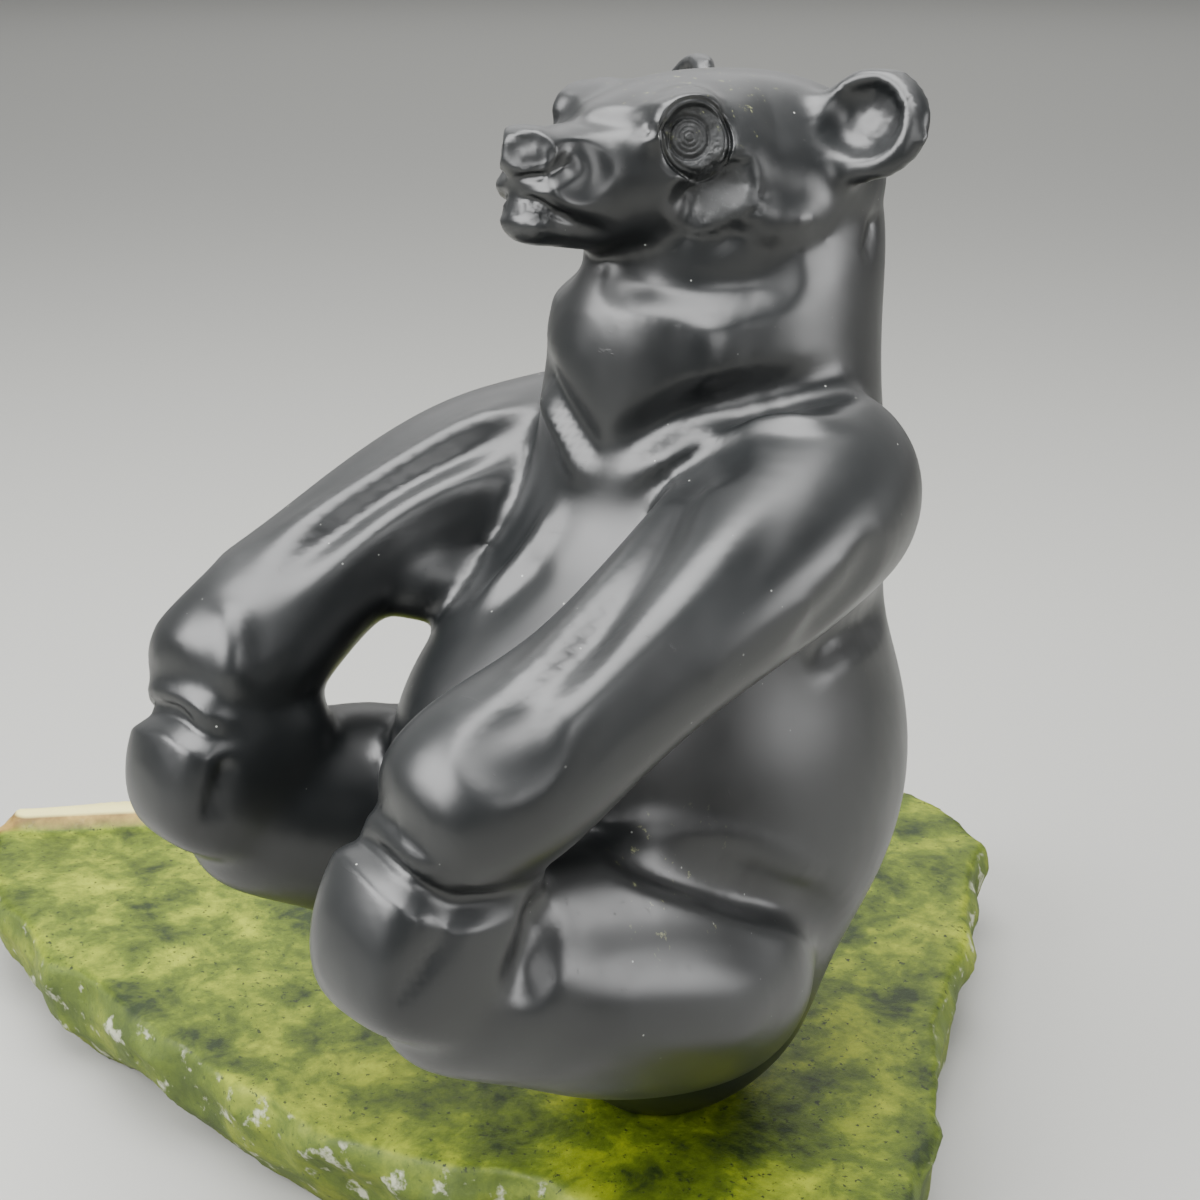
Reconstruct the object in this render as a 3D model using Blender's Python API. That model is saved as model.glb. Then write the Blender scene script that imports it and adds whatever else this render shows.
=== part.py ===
"""Seated bear carved from one block of black stone, on a rough slab of green stone.

The bear faces -Y and its left side is +X. It sits back on its rump with its legs raised, and each forepaw
holds the foot of its own side. Sizes are metres, +Z is up, and the origin is under the middle of the slab.
"""

import math

import bmesh
import bpy
import numpy as np
from mathutils import Matrix, Vector, noise

# Driving sizes of the bear.
BEAR_HEIGHT = 0.240
SEAT_CUT = 0.026
CLAY_VOXEL = 0.0021
SOFTENING_PASSES = 8
BEAR_TRIANGLES = 7900

# The right limbs are carved a little off their mirror places, as shares of the bear's height.
RIGHT_LEG_SHIFT = (-0.005, 0.026, 0.014)
RIGHT_ARM_SHIFT = (-0.004, 0.010, 0.000)
RIGHT_SHOULDER_DROP = 0.022

# Driving sizes of the slab.
SLAB_THICKNESS = 0.030
SLAB_GRAIN = 0.0045
RIND_HEIGHT = 0.0045
RIND_WIDTH = 0.009
SLAB_TRIANGLES = 1900
SEAT_GAP = 0.0003
SEAT_HALF_WIDTH = 0.024
SEAT_HALF_DEPTH = 0.019

# The slab's top is level out to this many seats from the seat's middle, and uneven from the second on.
LEVEL_START = 2.2
LEVEL_END = 4.0

# Where the bear sits, from the middle of the slab.
BEAR_SEAT = (0.0720, -0.0262)

RING_POINTS = 16

# How a stroke is laid: short steps in each leg of its path, how far a step settles as a share of the bear's
# height, passes that ease its corners, and the share of its length over which each end fades out.
STEPS_IN_LEG = 5
SETTLING_REACH = 0.012
EASING_PASSES = 3
FADING_SHARE = 0.3


def ring(centre, along, side, half_width, half_height, squareness=2.0):
    """Points of one cross-section: a round or squarish closed outline square to the limb's own line."""
    along = along.normalized()
    side = (side - along * side.dot(along)).normalized()
    upward = along.cross(side)
    # A subdivided ring draws in towards its middle, so its control points stand out by this share.
    stand_out = 3.0 / (2.0 + math.cos(math.tau / RING_POINTS))
    points = []
    for k in range(RING_POINTS):
        angle = math.tau * k / RING_POINTS
        c, s = math.cos(angle), math.sin(angle)
        c = math.copysign(abs(c) ** (2.0 / squareness), c)
        s = math.copysign(abs(s) ** (2.0 / squareness), s)
        points.append(centre + side * (half_width * c * stand_out) + upward * (half_height * s * stand_out))
    return points


def add_form(clay, stations, squareness=2.0, level=False):
    """Adds one closed limb to the clay: rings at the stations, skinned, with a flat face at each end.

    A station is (x, y, z, half width, half height), as shares of the bear's height. The rings are square to
    the limb's own line, or level.
    """
    middles = [Vector(s[:3]) * BEAR_HEIGHT for s in stations]
    rings = []
    for i, station in enumerate(stations):
        before = middles[max(i - 1, 0)]
        after = middles[min(i + 1, len(middles) - 1)]
        outline = ring(
            middles[i],
            Vector((0, 0, 1)) if level else after - before,
            Vector((1, 0, 0)),
            station[3] * BEAR_HEIGHT,
            station[4] * BEAR_HEIGHT,
            squareness,
        )
        rings.append([clay.verts.new(p) for p in outline])
    for lower, upper in zip(rings, rings[1:]):
        for k in range(RING_POINTS):
            following = (k + 1) % RING_POINTS
            clay.faces.new((lower[k], lower[following], upper[following], upper[k]))
    clay.faces.new(rings[0][::-1])
    clay.faces.new(rings[-1])


def add_ball(clay, centre, radii, turn=(0, 0, 0)):
    """Adds an egg-shaped mass: radii along X, Y and Z before it is turned by degrees about X, Y and Z."""
    place = Matrix.Translation(Vector(centre) * BEAR_HEIGHT)
    for axis, degrees in zip("ZYX", reversed(turn)):
        place = place @ Matrix.Rotation(math.radians(degrees), 4, axis)
    place = place @ Matrix.Diagonal((*[r * BEAR_HEIGHT for r in radii], 1.0))
    bmesh.ops.create_uvsphere(clay, u_segments=16, v_segments=10, radius=1.0, matrix=place)


def on_right(stations, shift=(0, 0, 0)):
    """The same limb on the bear's right side, moved by a small shift."""
    return [(-s[0] + shift[0], s[1] + shift[1], s[2] + shift[2], *s[3:]) for s in stations]


def add_torso(clay):
    """Rump, full belly, chest and thick neck, from the seat up."""
    profile = (
        # z, middle's y, half width, half depth
        (0.000, -0.055, 0.030, 0.045),
        (0.020, -0.055, 0.062, 0.074),
        (0.045, -0.060, 0.092, 0.095),
        (0.080, -0.066, 0.124, 0.127),
        (0.120, -0.075, 0.152, 0.157),
        (0.200, -0.078, 0.172, 0.182),
        (0.280, -0.070, 0.202, 0.241),
        (0.360, -0.068, 0.206, 0.268),
        (0.440, -0.078, 0.190, 0.272),
        (0.510, -0.078, 0.166, 0.244),
        (0.580, -0.034, 0.160, 0.196),
        (0.650, -0.010, 0.155, 0.168),
        (0.720, -0.010, 0.132, 0.168),
        (0.800, -0.008, 0.124, 0.170),
        (0.870, 0.012, 0.115, 0.158),
        (0.940, 0.060, 0.080, 0.090),
    )
    add_form(clay, [(0.0, y, z, a, b) for z, y, a, b in profile], level=True)


def add_leg(clay, left):
    """Thigh and shank raised in front, thick at the hip and narrower at the ankle."""
    stations = [
        (0.092, -0.060, 0.205, 0.064, 0.064),
        (0.116, -0.092, 0.214, 0.090, 0.096),
        (0.136, -0.140, 0.240, 0.104, 0.108),
        (0.150, -0.205, 0.271, 0.103, 0.116),
        (0.158, -0.280, 0.303, 0.093, 0.116),
        (0.163, -0.360, 0.334, 0.080, 0.098),
        (0.167, -0.430, 0.354, 0.070, 0.086),
        (0.168, -0.490, 0.372, 0.054, 0.062),
    ]
    add_form(clay, stations if left else on_right(stations, RIGHT_LEG_SHIFT))


def add_foot(clay, left):
    """Block of a foot standing across the ankle: heel below, toes under the paw."""
    stations = [
        (0.168, -0.486, 0.322, 0.046, 0.046),
        (0.168, -0.474, 0.342, 0.062, 0.074),
        (0.168, -0.460, 0.392, 0.067, 0.090),
        (0.168, -0.440, 0.448, 0.064, 0.084),
        (0.168, -0.428, 0.488, 0.050, 0.065),
    ]
    add_form(clay, stations if left else on_right(stations, RIGHT_LEG_SHIFT), squareness=3.2)


def add_arm(clay, left):
    """Shoulder, forearm and paw, reaching forward and a little down to the toes."""
    stations = [
        (0.090, 0.052, 0.656, 0.074, 0.078),
        (0.126, 0.006, 0.656, 0.094, 0.099),
        (0.158, -0.066, 0.650, 0.098, 0.088),
        (0.182, -0.150, 0.628, 0.095, 0.078),
        (0.195, -0.240, 0.598, 0.082, 0.066),
        (0.198, -0.325, 0.558, 0.072, 0.062),
        (0.188, -0.395, 0.519, 0.078, 0.080),
        (0.177, -0.445, 0.498, 0.074, 0.070),
        (0.170, -0.480, 0.484, 0.055, 0.045),
    ]
    if not left:
        stations = on_right(stations, RIGHT_ARM_SHIFT)
        for i, (x, y, z, half_width, half_height) in enumerate(stations[:3]):
            stations[i] = (x, y, z - RIGHT_SHOULDER_DROP, half_width, half_height)
    add_form(clay, stations)


def add_head(clay):
    """Skull and brow narrowing to a blunt muzzle that points a little up, with its nose, lip and chin."""
    skull = [
        (0.0, 0.135, 0.895, 0.065, 0.055),
        (0.0, 0.105, 0.900, 0.098, 0.080),
        (0.0, 0.050, 0.912, 0.116, 0.089),
        (0.0, -0.020, 0.922, 0.113, 0.084),
        (0.0, -0.080, 0.929, 0.094, 0.075),
        (0.0, -0.130, 0.924, 0.068, 0.064),
        (0.0, -0.180, 0.918, 0.046, 0.052),
    ]
    muzzle = [
        (0.0, -0.080, 0.915, 0.050, 0.050),
        (0.0, -0.120, 0.915, 0.056, 0.056),
        (0.0, -0.180, 0.918, 0.044, 0.052),
        (0.0, -0.218, 0.922, 0.044, 0.045),
        (0.0, -0.234, 0.923, 0.036, 0.033),
    ]
    add_form(clay, skull)
    add_form(clay, muzzle, squareness=2.4)
    add_ball(clay, (0.0, -0.222, 0.950), (0.039, 0.028, 0.023))
    add_ball(clay, (0.0, -0.210, 0.893), (0.037, 0.034, 0.022))
    for side in (1, -1):
        add_ball(clay, (side * 0.070, 0.010, 0.888), (0.046, 0.085, 0.036), (0, 0, side * 18))
        add_ball(clay, (side * 0.052, -0.108, 0.972), (0.036, 0.044, 0.024), (20, 0, 0))


def add_ear(clay, left):
    """Round ear, a thick disc that opens forward and outward."""
    side = 1 if left else -1
    add_ball(clay, (side * 0.118, 0.054, 0.961), (0.058, 0.023, 0.055), (-36, side * -38, side * 53))


def bear_clay():
    """All the masses in one mesh, still separate shells that overlap."""
    clay = bmesh.new()
    add_torso(clay)
    add_head(clay)
    for left in (True, False):
        add_leg(clay, left)
        add_foot(clay, left)
        add_arm(clay, left)
        add_ear(clay, left)
    # thick web in the right armpit, which rounds the gap between arm and thigh
    add_ball(clay, (-0.150, -0.215, 0.555), (0.055, 0.075, 0.045))
    mesh = bpy.data.meshes.new("clay")
    clay.to_mesh(mesh)
    clay.free()
    return mesh


def lay_on(points, path):
    """A finer path, laid on the clay: each short step settles among the nearest points of the surface."""
    corners = [np.array(p) * BEAR_HEIGHT for p in path]
    places = []
    for start, end in zip(corners, corners[1:]):
        places += [start + (end - start) * k / STEPS_IN_LEG for k in range(STEPS_IN_LEG)]
    places.append(corners[-1])
    laid = []
    for place in places:
        squares = ((points - place) ** 2).sum(axis=1)
        weights = np.exp((squares.min() - squares) / (SETTLING_REACH * BEAR_HEIGHT) ** 2)
        laid.append(weights @ points / weights.sum())
    laid = np.array(laid)
    for _ in range(EASING_PASSES):
        laid[1:-1] = (laid[:-2] + 2.0 * laid[1:-1] + laid[2:]) / 4.0
    return laid


def soft(share):
    """Eases a share between 0 and 1 at both of its ends."""
    share = np.clip(share, 0.0, 1.0)
    return share * share * (3.0 - 2.0 * share)


def press_stroke(points, inward, path, width, depth, sharp=False):
    """Presses a groove along a path, or raises a ridge where the depth is below zero.

    Its section is a V when sharp, else rounded, and it fades out towards both ends.
    """
    laid = lay_on(points, path)
    reach = width * BEAR_HEIGHT
    near = np.all((points > np.min(laid, axis=0) - reach) & (points < np.max(laid, axis=0) + reach), axis=1)
    here = points[near]
    gap = np.full(len(here), np.inf)
    share = np.zeros(len(here))
    for k, (start, end) in enumerate(zip(laid, laid[1:])):
        step = end - start
        along = np.clip((here - start) @ step / max(step @ step, 1e-12), 0.0, 1.0)
        distance = np.linalg.norm(here - start - along[:, None] * step, axis=1)
        closer = distance < gap
        gap[closer] = distance[closer]
        share[closer] = (k + along[closer]) / (len(laid) - 1)
    fall = np.clip(1.0 - gap / reach, 0.0, 1.0)
    if not sharp:
        fall = soft(fall)
    fade = soft(np.minimum(share, 1.0 - share) / FADING_SHARE)
    points[near] += inward[near] * (fall * fade * depth * BEAR_HEIGHT)[:, None]


def press_bowl(points, toward, centre, radii, depth):
    """Presses a rounded bowl into the clay: an egg-shaped reach around the centre, deepest in the middle."""
    offset = (points - np.array(centre) * BEAR_HEIGHT) / (np.array(radii) * BEAR_HEIGHT)
    fall = soft(1.0 - (offset ** 2).sum(axis=1))
    toward = np.array(toward) / np.linalg.norm(toward)
    points += toward * (fall * depth * BEAR_HEIGHT)[:, None]


# Strokes that are the same on both sides: path, width, depth, sharp, and whose shift the right one takes.
SIDE_STROKES = (
    # front of the hand, over the toes
    (
        ((0.214, -0.385, 0.440), (0.222, -0.445, 0.442), (0.221, -0.474, 0.449), (0.208, -0.505, 0.474),
         (0.150, -0.502, 0.486), (0.121, -0.484, 0.466), (0.119, -0.440, 0.456)),
        0.018, 0.014, True, "arm",
    ),
    # corners between the sole and the sides of the foot
    (((0.221, -0.470, 0.446), (0.229, -0.490, 0.426), (0.228, -0.510, 0.405), (0.217, -0.529, 0.380)),
     0.016, 0.005, True, "leg"),
    (((0.110, -0.485, 0.442), (0.105, -0.498, 0.412), (0.110, -0.514, 0.378)), 0.016, 0.005, True, "leg"),
    # outer side of the foot, behind its edge
    (((0.222, -0.372, 0.440), (0.225, -0.390, 0.405), (0.224, -0.408, 0.375), (0.228, -0.420, 0.340)),
     0.036, 0.015, False, "leg"),
    # top of the thigh against the belly
    (((0.150, -0.300, 0.430), (0.180, -0.270, 0.412), (0.197, -0.213, 0.385), (0.203, -0.148, 0.350),
      (0.205, -0.088, 0.315), (0.195, -0.035, 0.275), (0.165, 0.015, 0.200)), 0.036, 0.015, False, "leg"),
    # roll of the belly over the thigh
    (((0.155, -0.285, 0.425), (0.175, -0.226, 0.407), (0.191, -0.173, 0.382), (0.204, -0.110, 0.346),
      (0.203, -0.055, 0.312)), 0.034, -0.007, False, "leg"),
    # long plane worn between the top and the side of the thigh, and the swell of the side below it
    (((0.222, -0.420, 0.400), (0.226, -0.350, 0.392), (0.230, -0.253, 0.370), (0.226, -0.160, 0.335),
      (0.205, -0.080, 0.300)), 0.075, 0.015, False, "leg"),
    (((0.240, -0.400, 0.300), (0.250, -0.320, 0.285), (0.250, -0.220, 0.262), (0.236, -0.130, 0.245)),
     0.060, -0.006, False, "leg"),
    # fold from the back to the flank
    (((0.100, 0.120, 0.515), (0.155, 0.020, 0.530), (0.185, -0.060, 0.520)), 0.030, 0.012, False, "arm"),
    # groove behind the shoulder, where the arm leaves the back
    (((0.250, -0.050, 0.655), (0.266, -0.112, 0.620), (0.270, -0.190, 0.585)), 0.030, 0.006, False, "arm"),
    # underside of the jaw
    (((0.010, -0.150, 0.848), (0.042, -0.136, 0.842), (0.081, -0.104, 0.836), (0.103, -0.056, 0.837),
      (0.110, -0.010, 0.850)), 0.036, 0.013, False, "head"),
    # mouth, running back along the muzzle
    (((0.006, -0.240, 0.911), (0.026, -0.222, 0.906), (0.038, -0.190, 0.890), (0.036, -0.155, 0.878)),
     0.013, 0.007, True, "head"),
    # under the nose pad
    (((0.004, -0.242, 0.929), (0.026, -0.228, 0.932), (0.038, -0.212, 0.937), (0.042, -0.192, 0.946)),
     0.012, 0.007, True, "head"),
    # step from the muzzle up to the forehead
    (((-0.006, -0.172, 0.969), (0.019, -0.160, 0.971), (0.046, -0.142, 0.973), (0.060, -0.134, 0.974)),
     0.018, 0.004, False, "head"),
    # brow over the eye
    (((0.048, -0.152, 0.966), (0.057, -0.136, 0.982), (0.071, -0.105, 0.991), (0.080, -0.082, 0.985),
      (0.086, -0.068, 0.965)), 0.018, -0.004, False, "head"),
    # hollow under the cheekbone, and the roll of the jaw below it
    (((0.098, -0.055, 0.928), (0.084, -0.080, 0.918), (0.073, -0.104, 0.908), (0.060, -0.126, 0.892)),
     0.026, 0.015, False, "head"),
    (((0.096, -0.045, 0.912), (0.080, -0.065, 0.898), (0.073, -0.086, 0.887), (0.060, -0.112, 0.876)),
     0.022, -0.007, False, "head"),
    # slope of the temple, from behind the eye to below the ear
    (((0.090, -0.060, 0.985), (0.108, -0.020, 0.978), (0.112, 0.030, 0.962), (0.104, 0.075, 0.940)),
     0.070, 0.010, False, "head"),
    # fold where the jaw meets the back of the neck
    (((0.108, 0.068, 0.838), (0.101, 0.081, 0.860), (0.095, 0.093, 0.885)), 0.016, 0.005, False, "head"),
)

# Strokes of one side alone: the carver shaped the two arms and shoulders differently.
ARM_STROKES = (
    # left arm: long ridge on the outer side, the groove inside it, and a lower ridge beside that
    (((0.195, -0.125, 0.712), (0.228, -0.216, 0.666), (0.240, -0.276, 0.634), (0.247, -0.380, 0.583),
      (0.246, -0.445, 0.540)), 0.034, -0.008, False),
    (((0.127, -0.132, 0.709), (0.150, -0.185, 0.690), (0.183, -0.242, 0.668), (0.205, -0.307, 0.635),
      (0.222, -0.354, 0.611), (0.239, -0.430, 0.562)), 0.030, 0.013, False),
    (((0.165, -0.220, 0.675), (0.189, -0.300, 0.642), (0.206, -0.365, 0.610), (0.211, -0.453, 0.568)),
     0.028, -0.006, False),
    # right arm: ridge along the top, the groove inside it, and a ridge below that
    (((-0.125, -0.090, 0.706), (-0.149, -0.162, 0.690), (-0.160, -0.223, 0.665), (-0.184, -0.337, 0.616),
      (-0.176, -0.395, 0.590)), 0.028, -0.007, False),
    (((-0.110, -0.120, 0.692), (-0.137, -0.194, 0.670), (-0.151, -0.251, 0.644), (-0.159, -0.311, 0.617),
      (-0.141, -0.410, 0.570)), 0.026, 0.012, False),
    (((-0.079, -0.159, 0.657), (-0.125, -0.215, 0.644), (-0.142, -0.269, 0.626), (-0.142, -0.318, 0.599),
      (-0.126, -0.410, 0.552)), 0.026, -0.006, False),
    # corner between the front and the inner side of the right hand
    (((-0.162, -0.421, 0.580), (-0.129, -0.443, 0.540), (-0.121, -0.451, 0.495)), 0.026, -0.006, False),
    # crest of the left shoulder against the neck, and the hollow of the neck behind it
    (((0.040, -0.175, 0.668), (0.075, -0.150, 0.695), (0.100, -0.126, 0.716), (0.135, -0.098, 0.726),
      (0.178, -0.070, 0.734), (0.186, -0.015, 0.734)), 0.020, -0.010, False),
    (((0.030, -0.180, 0.685), (0.060, -0.160, 0.708), (0.090, -0.130, 0.733), (0.120, -0.090, 0.750),
      (0.150, -0.020, 0.758), (0.140, 0.050, 0.750)), 0.032, 0.012, False),
    # crest of the right shoulder, and the neck's edge beside it
    (((-0.070, -0.150, 0.742), (-0.030, -0.172, 0.722), (0.005, -0.180, 0.695), (0.026, -0.180, 0.664)),
     0.020, -0.009, False),
    (((-0.080, -0.120, 0.765), (-0.030, -0.165, 0.745), (0.015, -0.180, 0.705), (0.030, -0.180, 0.680)),
     0.030, 0.009, False),
    # fold of the right breast into the arm, and the crease beside it
    (((-0.040, -0.262, 0.550), (-0.022, -0.227, 0.587), (-0.009, -0.199, 0.626), (-0.004, -0.184, 0.655)),
     0.020, -0.008, False),
    (((-0.022, -0.268, 0.542), (-0.004, -0.236, 0.580), (0.010, -0.205, 0.615)), 0.030, 0.004, False),
    # soft edge down the left side of the neck
    (((0.097, -0.102, 0.815), (0.102, -0.108, 0.775), (0.104, -0.110, 0.748)), 0.040, -0.005, False),
)

# Bowls that are the same on both sides: centre, reach, depth, and the way the left one is pressed.
SIDE_BOWLS = (
    # bowl of the ear
    ((0.124, 0.034, 0.973), (0.042, 0.042, 0.042), 0.021, (-0.44, 0.77, -0.46)),
    # eye socket
    ((0.078, -0.107, 0.958), (0.038, 0.038, 0.038), 0.010, (-0.75, 0.55, -0.35)),
    # nostril
    ((0.024, -0.240, 0.952), (0.027, 0.028, 0.018), 0.009, (-0.35, 0.90, -0.20)),
    # side of the snout, behind the nose
    ((0.042, -0.198, 0.938), (0.026, 0.032, 0.030), 0.007, (-1.0, 0.3, 0.0)),
    # hollow above the wrist
    ((0.236, -0.424, 0.563), (0.036, 0.050, 0.040), 0.006, (-0.6, 0.3, -0.7)),
)
# Hollow of the left shoulder below its crest, and the disc that stands in each eye socket.
SHOULDER_BOWL = ((0.140, -0.150, 0.706), (0.050, 0.045, 0.040), 0.009, (-0.3, 0.6, -0.7))
EYE_DISC = ((0.077, -0.108, 0.958), (0.017, 0.017, 0.017), 0.005, (0.75, -0.55, 0.35))


def mirrored(place, shift=(0, 0, 0)):
    return (-place[0] + shift[0], place[1] + shift[1], place[2] + shift[2])


def carve(points, inward):
    """Cuts the strokes and bowls into the softened clay."""
    shifts = {"leg": RIGHT_LEG_SHIFT, "arm": RIGHT_ARM_SHIFT, "head": (0, 0, 0)}
    for path, width, depth, sharp, limb in SIDE_STROKES:
        press_stroke(points, inward, path, width, depth, sharp)
        press_stroke(points, inward, [mirrored(p, shifts[limb]) for p in path], width, depth, sharp)
    for path, width, depth, sharp in ARM_STROKES:
        press_stroke(points, inward, path, width, depth, sharp)
    for centre, radii, depth, toward in (*SIDE_BOWLS, EYE_DISC):
        press_bowl(points, toward, centre, radii, depth)
        press_bowl(points, mirrored(toward), mirrored(centre), radii, depth)
    centre, radii, depth, toward = SHOULDER_BOWL
    press_bowl(points, toward, centre, radii, depth)


def evaluated_copy(source, name):
    """A plain mesh of what the object's modifiers give."""
    bpy.context.view_layer.update()
    graph = bpy.context.evaluated_depsgraph_get()
    mesh = bpy.data.meshes.new_from_object(source.evaluated_get(graph))
    mesh.name = name
    bpy.data.objects.remove(source)
    return mesh


def mesh_points(mesh):
    points = np.empty(len(mesh.vertices) * 3)
    mesh.vertices.foreach_get("co", points)
    return points.reshape(-1, 3)


def mesh_normals(mesh):
    normals = np.empty(len(mesh.vertices) * 3)
    mesh.vertex_normals.foreach_get("vector", normals)
    return normals.reshape(-1, 3)


def add_object(name, mesh):
    thing = bpy.data.objects.new(name, mesh)
    bpy.context.scene.collection.objects.link(thing)
    return thing


def fuse_and_soften(thing, voxel, passes):
    fuse = thing.modifiers.new("fuse the forms", "REMESH")
    fuse.mode = "VOXEL"
    fuse.voxel_size = voxel
    soften = thing.modifiers.new("soften the joins", "SMOOTH")
    soften.iterations = passes
    soften.factor = 0.5


def thin_out(thing, triangles):
    """Fewer, larger triangles where the surface is plain."""
    thing.data.calc_loop_triangles()
    now = len(thing.data.loop_triangles)
    thin = thing.modifiers.new("thin out", "DECIMATE")
    thin.decimate_type = "COLLAPSE"
    thin.ratio = min(1.0, triangles / now)
    thin.use_collapse_triangulate = True


def make_bear():
    clay = add_object("clay", bear_clay())
    subdivide = clay.modifiers.new("round the forms", "SUBSURF")
    subdivide.levels = 2
    subdivide.render_levels = 2
    fuse_and_soften(clay, CLAY_VOXEL, SOFTENING_PASSES)
    mesh = evaluated_copy(clay, "bear")
    points = mesh_points(mesh)
    carve(points, -mesh_normals(mesh))
    # flat seat where the bear touches the slab
    points[:, 2] = np.maximum(points[:, 2] - SEAT_CUT * BEAR_HEIGHT, 0.0)
    points += np.array((*BEAR_SEAT, SLAB_THICKNESS + SEAT_GAP))
    mesh.vertices.foreach_set("co", points.ravel())
    bear = add_object("bear", mesh)
    thin_out(bear, BEAR_TRIANGLES)
    return bear


# Outline of the slab's top, counter-clockwise from its rear corner, from the middle of the slab.
SLAB_OUTLINE = (
    (-0.001, 0.131),
    (-0.053, 0.063),
    (-0.108, -0.012),
    (-0.149, -0.070),
    (-0.166, -0.101),
    (-0.139, -0.115),
    (-0.125, -0.122),
    (-0.085, -0.128),
    (-0.019, -0.122),
    (0.030, -0.117),
    (0.070, -0.101),
    (0.087, -0.086),
    (0.113, -0.078),
    (0.157, -0.069),
    (0.165, -0.058),
    (0.139, -0.023),
    (0.102, 0.027),
    (0.066, 0.082),
    (0.038, 0.120),
    (0.017, 0.128),
)


# Line of the rind's lip, from the slab's rear corner to its left one.
RIND_LINE = ((-0.074, 0.032), (-0.160, -0.094))


def slab_block():
    """Block of the slab's outline, with its lower edge drawn in."""
    block = bmesh.new()
    layers = ((0.0, 0.90), (0.35, 0.965), (0.75, 1.0), (1.0, 0.985))
    rings = []
    for height, share in layers:
        level = height * SLAB_THICKNESS
        rings.append([block.verts.new((x * share, y * share, level)) for x, y in SLAB_OUTLINE])
    count = len(SLAB_OUTLINE)
    for lower, upper in zip(rings, rings[1:]):
        for k in range(count):
            following = (k + 1) % count
            block.faces.new((lower[k], lower[following], upper[following], upper[k]))
    block.faces.new(rings[0][::-1])
    block.faces.new(rings[-1])
    mesh = bpy.data.meshes.new("block")
    block.to_mesh(mesh)
    block.free()
    return mesh


def break_stone(points, normals):
    """Splits the sides into rough faces and lets the top roll a little, as a sawn and snapped slab does."""
    for i, (point, normal) in enumerate(zip(points, normals)):
        here = Vector(point)
        side_share = 1.0 - abs(normal[2])
        split = noise.voronoi(here / 0.034)[0][0]
        rough = noise.fractal(here / 0.020, 1.0, 2.2, 4)
        points[i] += np.array(normal) * (0.010 * (split - 0.35) + 0.0022 * rough) * side_share
        if normal[2] > 0.3:
            points[i][2] += 0.0016 * noise.fractal(here / 0.060, 1.0, 2.0, 3)


def make_slab():
    block = add_object("block", slab_block())
    fuse_and_soften(block, SLAB_GRAIN * 0.5, 2)
    mesh = evaluated_copy(block, "green_stone_slab")
    points = mesh_points(mesh)
    break_stone(points, mesh_normals(mesh))
    # flat underside, and a level seat under the bear that fades into the uneven top
    points[:, 2] = np.maximum(points[:, 2], 0.0)
    away = (points[:, :2] - np.array(BEAR_SEAT)) / (SEAT_HALF_WIDTH, SEAT_HALF_DEPTH)
    level = np.clip((LEVEL_END - np.hypot(away[:, 0], away[:, 1])) / (LEVEL_END - LEVEL_START), 0.0, 1.0)
    top = points[:, 2] > 0.6 * SLAB_THICKNESS
    points[top, 2] += (level * (SLAB_THICKNESS - points[:, 2]))[top]
    # no part of the top rises to the bear's rounded rump
    points[:, 2] = np.minimum(points[:, 2], SLAB_THICKNESS + 0.0030 * (1.0 - level))
    # lip of rind left standing along the rear left edge
    start, end = (np.array(place) for place in RIND_LINE)
    along = np.clip((points[:, :2] - start) @ (end - start) / ((end - start) @ (end - start)), 0.0, 1.0)
    gap = np.linalg.norm(points[:, :2] - start - along[:, None] * (end - start), axis=1)
    points[top, 2] += (RIND_HEIGHT * soft(1.5 - 1.5 * gap / RIND_WIDTH))[top]
    points[:, :2] -= (points[:, :2].min(axis=0) + points[:, :2].max(axis=0)) / 2.0
    points[:, 2] *= np.where(points[:, 2] < 0.0006, 0.0, 1.0)
    mesh.vertices.foreach_set("co", points.ravel())
    slab = add_object("green_stone_slab", mesh)
    thin_out(slab, SLAB_TRIANGLES)
    return slab


def paint(thing, colour, roughness):
    material = bpy.data.materials.new(thing.name)
    material.use_nodes = True
    surface = material.node_tree.nodes["Principled BSDF"]
    surface.inputs["Base Color"].default_value = (*colour, 1.0)
    surface.inputs["Roughness"].default_value = roughness
    surface.inputs["Metallic"].default_value = 0.0
    thing.data.materials.append(material)
    thing.data.shade_smooth()


def main():
    for old in list(bpy.data.objects):
        bpy.data.objects.remove(old)
    bear = make_bear()
    slab = make_slab()
    paint(bear, (0.012, 0.013, 0.014), 0.30)
    paint(slab, (0.160, 0.210, 0.045), 0.50)


main()
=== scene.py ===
# %% [markdown]
# # A carved bear of black stone, sitting on a slab of green stone
#
# The real object is two stones. The bear was sawn, filed and rubbed out of one dark block and then waxed, so
# it has soft round forms with a few crisp tool marks left in the face. It sits back on its rump on a thick
# slab of green serpentine with a rubbed top and snapped sides. This lesson models both stones as a carver
# would think of them: rough masses first, then the softened surface, then the cuts.

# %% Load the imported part
import math
import random

import bpy
import numpy as np
from mathutils import Matrix, Vector, noise


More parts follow.
